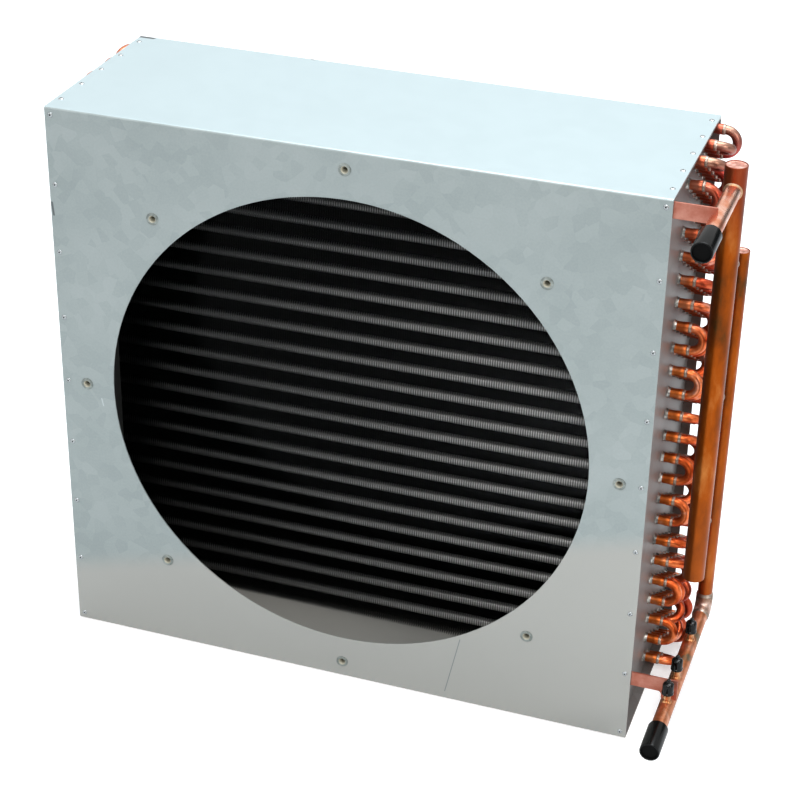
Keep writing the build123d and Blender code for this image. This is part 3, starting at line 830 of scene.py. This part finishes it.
JOINT_MARGIN = 14.6 * mm
elbow_middle, elbow_low, elbow_size = node_axis("outlet_elbow")
shells, rings = [], []
for circuit, level in enumerate(range(0, LEVELS, CIRCUIT_LEVELS)):
    y, z = (float(value) for value in tube_centre(3, level))
    start, corner = (end_face, y, z), (casing_side + LIQUID_REACH, y, z)
    if circuit:
        pipe_direction = (0, 0, 1)
        end = np.array((liquid_middle[0], liquid_middle[1], z))
    else:
        pipe_direction = (0, 1, 0)
        end = np.array((outlet_middle[0], elbow_low[1] - JOINT_MARGIN, outlet_middle[2]))
    toward = np.array(corner) - end
    tip = end + toward / np.linalg.norm(toward) * 6.5 * mm
    shells.append((feeder_grid(start, corner, tip), 0))
    rings.append(bead(end, toward, TUBE_DIAMETER / 2, pipe_radius, 0.9 * mm))
shells += [(ring, 1) for ring in rings]
new_piece("liquid_feeder_tubes", shells, [bend_copper, braze], ["liquid_feeders"])

# Inlet pipe: a short length of new copper pipe, brazed level into the gas header with a wide
# golden fillet. It was handled least and is the brightest copper here.
new_copper = copper_finish(
    "bright_drawn_copper_pipe", ["#c46a42", "#e39a78", "#f2c3ae"], [0.34, 0.48, 0.62], 26 * mm, 0.27
)
golden_braze = copper_finish(
    "golden_phosphor_braze", ["#a98466", "#d3b08c", "#efe0c8"], [0.3, 0.5, 0.7], 10 * mm, 0.4
)
inlet_middle, inlet_low, inlet_size = node_axis("inlet_pipe")
inlet_front = inlet_low[1]
inlet_back = gas_middle[1] - gas_radius + 2.4 * mm
inlet_shell = turned(
    pipe_profile(inlet_back - inlet_front, pipe_radius, PIPE_WALL),
    (inlet_middle[0], inlet_front, inlet_middle[2]),
    (0, 1, 0),
    48,
)
pipe_direction = (0, 0, 1)
inlet_centre = (inlet_middle[0], gas_middle[1], inlet_middle[2])
inlet_ring = bead(inlet_centre, (0, -1, 0), pipe_radius, gas_radius, 1.2 * mm, 40)
new_piece(
    "inlet_pipe_tube",
    [(inlet_shell, 0), (inlet_ring, 1)],
    [new_copper, golden_braze],
    ["inlet_pipe"],
)

# Outlet: a swaged elbow turns the liquid header forward into a level pipe. Both joints carry a
# dull silver collar of braze, and the pipe shows pink copper between grey flux stains.
ELBOW_RADIUS = 12 * mm
outlet_copper = copper_finish(
    "flux_stained_copper_pipe",
    ["#75644f", "#a9683f", "#c27a55", "#dcab92"],
    [0.36, 0.45, 0.55, 0.68],
    17 * mm,
    0.4,
    (1, 0.7, 1),
)
patina = copper_finish(
    "greenish_fluxed_elbow",
    ["#5d5a45", "#9a7a68", "#c0a092", "#d2c4bb"],
    [0.3, 0.45, 0.6, 0.75],
    12 * mm,
    0.4,
)
elbow_wall_radius = elbow_size[0] / 2
pipe_y = liquid_middle[1]
pipe_z = outlet_middle[2]
quarter = np.linspace(0, np.pi / 2, 15)
corner_y = pipe_y - ELBOW_RADIUS + ELBOW_RADIUS * np.cos(quarter)
corner_z = pipe_z + ELBOW_RADIUS - ELBOW_RADIUS * np.sin(quarter)
elbow_top = elbow_low[2] + elbow_size[2]
elbow_front = elbow_low[1]
route_y = np.concatenate([[pipe_y] * 4, corner_y, [elbow_front + 0.4 * mm, elbow_front, elbow_front]])
route_z = np.concatenate(
    [[elbow_top, elbow_top, elbow_top - 0.4 * mm, elbow_top - 2 * mm], corner_z, [pipe_z] * 3]
)
wall = np.full(len(route_y), elbow_wall_radius)
wall[[1, -2]] -= 0.4 * mm
wall[[0, -1]] = pipe_radius - 0.2 * mm
tangent = np.zeros((len(route_y), 3))
tangent[:4] = (0, 0, -1)
tangent[4:19] = np.stack([0 * quarter, -np.sin(quarter), -np.cos(quarter)], 1)
tangent[19:] = (0, -1, 0)
side = np.cross(tangent, (1.0, 0.0, 0.0))
v = np.linspace(0, 2 * np.pi, 41)
line = np.stack([np.full(len(route_y), outlet_middle[0]), route_y, route_z], 1)
elbow_skin = line[:, None] + wall[:, None, None] * (
    np.cos(v)[None, :, None] * np.array((1.0, 0.0, 0.0)) + np.sin(v)[None, :, None] * side[:, None]
)
elbow_rings = [
    turned(
        [(-0.9 * mm, pipe_radius), (-0.5 * mm, pipe_radius + 0.9 * mm), (0.6 * mm, pipe_radius + 1.2 * mm),
         (2.2 * mm, pipe_radius + 0.4 * mm), (3.6 * mm, pipe_radius), (-0.9 * mm, pipe_radius)],
        origin,
        axis,
        40,
    )
    for origin, axis in (
        ((outlet_middle[0], pipe_y, elbow_top), (0, 0, 1)),
        ((outlet_middle[0], elbow_front, pipe_z), (0, -1, 0)),
    )
]
new_piece(
    "outlet_elbow_fitting",
    [(elbow_skin, 0), (elbow_rings[0], 1), (elbow_rings[1], 1)],
    [patina, braze],
    ["outlet_elbow"],
)
outlet_back = outlet_low[1] + outlet_size[1]
outlet_shell = turned(
    pipe_profile(outlet_size[1], pipe_radius, PIPE_WALL),
    (outlet_middle[0], outlet_low[1], pipe_z),
    (0, 1, 0),
    48,
)
new_piece("outlet_pipe_tube", [(outlet_shell, 0)], [outlet_copper], ["outlet_pipe"])

# Brackets: flat copper strip screwed behind the casing's front, soldered to the two pipes. They
# stay as modelled and only take the dull pink of rubbed strip.
strip_copper = copper_finish(
    "rubbed_copper_strip", ["#995340", "#b06f5e", "#c88f7e"], [0.3, 0.5, 0.72], 22 * mm, 0.45
)
dress("upper_bracket", strip_copper)
dress("lower_bracket", strip_copper)

# Plugs: black polythene caps pushed over the open pipe ends for transport, with a crisp rim
# round a sunken end face.
plug_plastic = bpy.data.materials.new("black_moulded_polythene")
plug_plastic.use_nodes = True
shader = shader_of(plug_plastic)
shader.inputs["Base Color"].default_value = colour("#040505")
shader.inputs["Specular IOR Level"].default_value = 0.2
shader.inputs["Roughness"].default_value = 0.2
dish_plastic = bpy.data.materials.new("matt_black_polythene_end")
dish_plastic.use_nodes = True
shader = shader_of(dish_plastic)
shader.inputs["Base Color"].default_value = colour("#030303")
shader.inputs["Specular IOR Level"].default_value = 0.08
shader.inputs["Roughness"].default_value = 0.6
for node in ("inlet_plug", "outlet_plug"):
    middle, low, size = node_axis(node)
    radius, length = size[0] / 2, size[1]
    profile = [
        (2.5 * mm, 0),
        (2.5 * mm, pipe_radius),
        (length, pipe_radius),
        (length, radius - 0.5 * mm),
        (length - 0.5 * mm, radius),
        (1.2 * mm, radius - 0.1 * mm),
        (0.35 * mm, radius - 0.35 * mm),
        (0, radius - 1.1 * mm),
        (0, radius - 1.5 * mm),
        (0.4 * mm, radius - 1.8 * mm),
    ]
    dish = [(0.4 * mm, radius - 1.8 * mm), (2.0 * mm, radius - 2.1 * mm), (2.1 * mm, 0)]
    shells = [
        (turned(outline, (middle[0], low[1], middle[2]), (0, 1, 0), 40), kind)
        for kind, outline in enumerate((profile, dish))
    ]
    new_piece(f"{node}_cap", shells, [plug_plastic, dish_plastic], [node])

# Access valves: copper stubs brazed upright on the outlet pipe, each closed by a glossy black
# rubber cap with a small nub to pull it off by.
cap_rubber = bpy.data.materials.new("glossy_black_rubber")
cap_rubber.use_nodes = True
shader = shader_of(cap_rubber)
shader.inputs["Base Color"].default_value = colour("#050606")
shader.inputs["Specular IOR Level"].default_value = 0.25
shader.inputs["Roughness"].default_value = 0.06
valve_copper = copper_finish(
    "brassy_valve_stub", ["#8a5330", "#c98d60", "#e2bd90"], [0.3, 0.5, 0.7], 7 * mm, 0.36
)
for number in (1, 2, 3):
    middle, low, size = node_axis(f"access_valve_{number}")
    radius = size[0] / 2
    root = pipe_z + pipe_radius - 0.6 * mm
    height = low[2] + size[2] - root
    stub = [
        (-0.6 * mm, 0),
        (-0.6 * mm, radius + 1.3 * mm),
        (0.9 * mm, radius + 0.9 * mm),
        (1.9 * mm, radius),
        (height - 0.4 * mm, radius),
        (height, radius - 0.4 * mm),
        (height, 0),
    ]
    stub_grid = turned(stub, (middle[0], middle[1], root), (0, 0, 1), 28)
    new_piece(
        f"valve_stub_{number}", [(stub_grid, 0)], [valve_copper], [f"access_valve_{number}"]
    )
    cap_middle, cap_low, cap_size = node_axis(f"valve_cap_{number}")
    wide, tall = cap_size[0] / 2, cap_size[2]
    shoulder = tall - 4.5 * mm
    cap = [
        (0, radius),
        (0, wide - 0.3 * mm),
        (0.3 * mm, wide),
        (2.2 * mm, wide),
        (2.6 * mm, wide - 0.35 * mm),
        (shoulder - 2.0 * mm, wide - 0.45 * mm),
        (shoulder - 0.7 * mm, wide - 1.1 * mm),
        (shoulder, wide - 2.4 * mm),
        (shoulder + 0.5 * mm, 2.3 * mm),
        (shoulder + 3.2 * mm, 2.1 * mm),
        (tall - 0.5 * mm, 1.6 * mm),
        (tall, 0.8 * mm),
        (tall, 0),
    ]
    cap_grid = turned(cap, (cap_middle[0], cap_middle[1], cap_low[2]), (0, 0, 1), 32)
    new_piece(
        f"rubber_valve_cap_{number}",
        [(cap_grid, 0)],
        [cap_rubber],
        [f"valve_cap_{number}"],
    )

# Fan inserts: zinc-plated steel rivet nuts squeezed into the front sheet, eight round the
# opening. Their yellow passivated bores show as a warm ring with a dark middle.
zinc_plate = copper_finish(
    "zinc_plated_steel_insert", ["#6f7572", "#8b918d", "#a4aaa5"], [0.3, 0.5, 0.7], 4 * mm, 0.42
)
yellow_plate = bpy.data.materials.new("yellow_passivated_zinc")
yellow_plate.use_nodes = True
shader = shader_of(yellow_plate)
shader.inputs["Base Color"].default_value = colour("#a9a696")
shader.inputs["Metallic"].default_value = 0.5
shader.inputs["Roughness"].default_value = 0.5
insert_middle, insert_low, insert_size = node_axis("fan_inserts")
flange_front = insert_low[1]
FLANGE_RADIUS = 6.5 * mm
BOLT_CIRCLE = 283.5 * mm
spokes = np.radians(np.arange(8) * 45)
insert_places = np.stack(
    [
        insert_middle[0] + BOLT_CIRCLE * np.cos(spokes),
        0 * spokes + flange_front,
        insert_middle[2] + BOLT_CIRCLE * np.sin(spokes),
    ],
    1,
)
flange = [
    (insert_size[1], 4.5 * mm),
    (0.8 * mm, 4.5 * mm),
    (0.8 * mm, FLANGE_RADIUS),
    (0.3 * mm, FLANGE_RADIUS),
    (0, FLANGE_RADIUS - 0.5 * mm),
    (0, 4.3 * mm),
    (0.2 * mm, 3.9 * mm),
]
bore = [
    (0.2 * mm, 3.9 * mm),
    (0.3 * mm, 3.6 * mm),
    (1.8 * mm, 2.5 * mm),
    (insert_size[1], 2.5 * mm),
    (insert_size[1], 4.5 * mm),
]
new_piece(
    "fan_rivet_nuts",
    [
        (turned(flange, insert_places, (0, 1, 0), 24), 0),
        (turned(bore, insert_places, (0, 1, 0), 24), 1),
    ],
    [zinc_plate, yellow_plate],
    ["fan_inserts"],
)

# Blind rivets: low aluminium domes along the front's sides and the top's ends. The broken steel
# pin shows as a dark dot in the middle of each.
rivet_metal = bpy.data.materials.new("aluminium_blind_rivet")
rivet_metal.use_nodes = True
shader = shader_of(rivet_metal)
shader.inputs["Base Color"].default_value = colour("#abafb0")
shader.inputs["Metallic"].default_value = 0.9
shader.inputs["Roughness"].default_value = 0.25
pin_steel = bpy.data.materials.new("rusty_steel_rivet_pin")
pin_steel.use_nodes = True
shader = shader_of(pin_steel)
shader.inputs["Base Color"].default_value = colour("#100e0d")
shader.inputs["Metallic"].default_value = 0.2
shader.inputs["Roughness"].default_value = 0.55
RIVET_RADIUS = 2.7 * mm
RIVET_HEIGHT = 1.1 * mm
PIN_RADIUS = 1.6 * mm
dome_angle = np.linspace(0, np.pi / 2, 6)
dome = [(0, 0), *zip(RIVET_HEIGHT * np.sin(dome_angle * 0.97), RIVET_RADIUS * np.cos(dome_angle * 0.8))]
dome += [(RIVET_HEIGHT * 0.45, PIN_RADIUS * 0.8), (RIVET_HEIGHT * 0.45, 0)]
pin = [(0, 0), (0, PIN_RADIUS * 0.8), (RIVET_HEIGHT * 0.7, PIN_RADIUS * 0.7), (RIVET_HEIGHT * 0.75, 0)]
front_middle, front_low, front_size = node_axis("front_rivets")
top_middle, top_low, top_size = node_axis("top_rivets")
front_x = front_size[0] / 2 - RIVET_RADIUS
top_x = top_size[0] / 2 - RIVET_RADIUS
front_z = np.linspace(front_low[2], front_low[2] + front_size[2], 9)
top_y = np.linspace(top_low[1], top_low[1] + top_size[1], 5)
front_y = front_low[1] + front_size[1]
front_places = np.array([(x, front_y, z) for x in (-front_x, front_x) for z in front_z])
top_places = np.array([(x, y, top_low[2]) for x in (-top_x, top_x) for y in top_y])
for name, places, axis, node in (
    ("front_blind_rivets", front_places, (0, -1, 0), "front_rivets"),
    ("top_blind_rivets", top_places, (0, 0, 1), "top_rivets"),
):
    new_piece(
        name,
        [(turned(dome, places, axis, 16), 0), (turned(pin, places, axis, 12), 1)],
        [rivet_metal, pin_steel],
        [node],
    )
